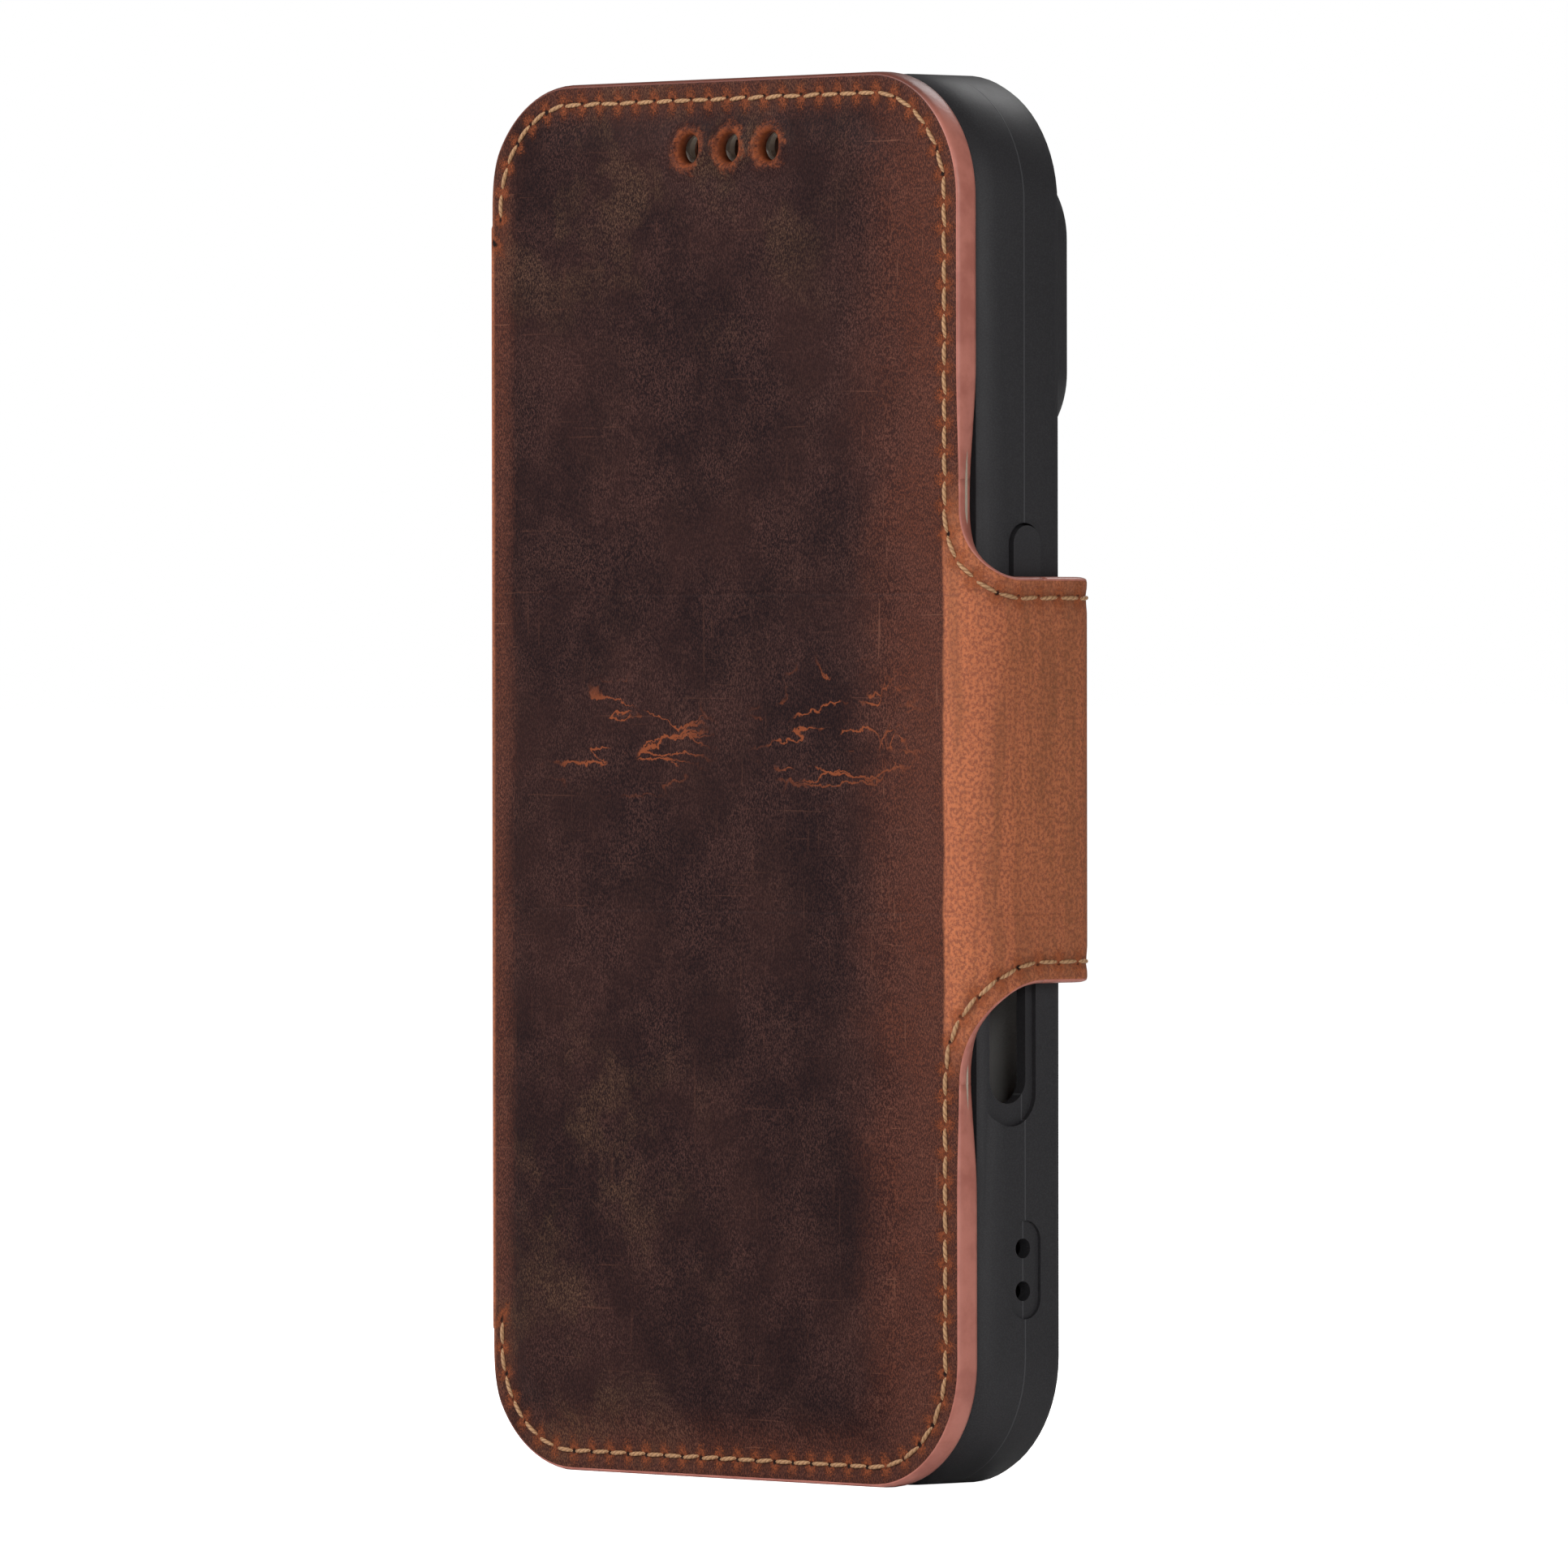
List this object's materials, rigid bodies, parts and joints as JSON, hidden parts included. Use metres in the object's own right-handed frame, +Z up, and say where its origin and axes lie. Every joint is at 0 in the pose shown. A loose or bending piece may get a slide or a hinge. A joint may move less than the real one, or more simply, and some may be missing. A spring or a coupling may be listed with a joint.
{
  "type": "phone wallet case",
  "caption": "Leather folio phone case: moulded shell, padded card-pocket cover on a leather spine, and a magnetic strap round the side.",
  "frame": {"origin": "middle of the box's footprint, on the bottom edge that the closed case stands on", "axes": "+Z up along the case's height, +X to the strap side seen from the front, +Y from the cover to the back"},
  "size_m": [0.0825, 0.0201, 0.156],
  "materials": {
    "black_shell": "soft matt moulded polymer",
    "microfibre": "short soft nap",
    "foam": "thin closed foam",
    "board": "pressed fibre board",
    "magnet": "plated",
    "dark_leather": "oiled pull-up, scuffed",
    "tan_leather": "oiled pull-up, fine grain",
    "edge_paint": "painted cut edge, satin",
    "thread": "waxed thread"
  },
  "bodies": {
    "shell": {"shell": "black_shell", "shell_lining": "microfibre", "camera_rim": "black_shell", "magnet_ring": "magnet", "back_leather": "dark_leather", "back_stitching": "thread", "closure_plate": "magnet"},
    "power_button": {"power_button": "black_shell"},
    "volume_up_button": {"volume_up_button": "black_shell"},
    "volume_down_button": {"volume_down_button": "black_shell"},
    "action_button": {"action_button": "black_shell"},
    "spine": {"spine_leather": "tan_leather", "spine_lining": "microfibre"},
    "cover": {"cover_leather": "dark_leather", "cover_padding": "foam", "cover_board": "board", "cover_edge": "edge_paint", "cover_lining": "tan_leather", "cover_stitching": "thread", "card_pocket_1": "dark_leather", "card_pocket_2": "dark_leather", "card_pocket_3": "dark_leather", "note_pocket": "tan_leather"},
    "strap_side": {"strap_side_leather": "tan_leather", "strap_side_lining": "microfibre", "strap_side_stitching": "thread"},
    "strap_tab": {"strap_tab_leather": "tan_leather", "strap_tab_lining": "microfibre", "strap_tab_stitching": "thread", "strap_magnets": "magnet"}
  },
  "joints": [
    {"name": "spine_hinge", "type": "hinge", "parent": "shell", "child": "spine", "pos_m": [-0.04115, 0.007, 0.078], "axis": [0, 0, -1], "range_deg": [0, 90]},
    {"name": "cover_hinge", "type": "hinge", "parent": "spine", "child": "cover", "pos_m": [-0.04115, -0.0091, 0.078], "axis": [0, 0, -1], "range_deg": [0, 90], "deforming": ["strap_side_leather", "strap_side_lining", "strap_side_stitching", "strap_tab_leather", "strap_tab_lining", "strap_tab_stitching", "strap_magnets"]},
    {"name": "strap_hinge", "type": "hinge", "parent": "cover", "child": "strap_side", "pos_m": [0.04115, -0.0091, 0.078], "axis": [0, 0, -1], "range_deg": [0, 120]},
    {"name": "tab_hinge", "type": "hinge", "parent": "strap_side", "child": "strap_tab", "pos_m": [0.04115, 0.0099, 0.078], "axis": [0, 0, -1], "range_deg": [0, 90]},
    {"name": "power_button_press", "type": "slide", "parent": "shell", "child": "power_button", "axis": [-1, 0, 0], "range_m": [0, 0.0003], "stiffness_N_per_m": 300},
    {"name": "volume_up_press", "type": "slide", "parent": "shell", "child": "volume_up_button", "axis": [1, 0, 0], "range_m": [0, 0.0003], "stiffness_N_per_m": 300},
    {"name": "volume_down_press", "type": "slide", "parent": "shell", "child": "volume_down_button", "axis": [1, 0, 0], "range_m": [0, 0.0003], "stiffness_N_per_m": 300},
    {"name": "action_press", "type": "slide", "parent": "shell", "child": "action_button", "axis": [1, 0, 0], "range_m": [0, 0.0003], "stiffness_N_per_m": 300}
  ]
}
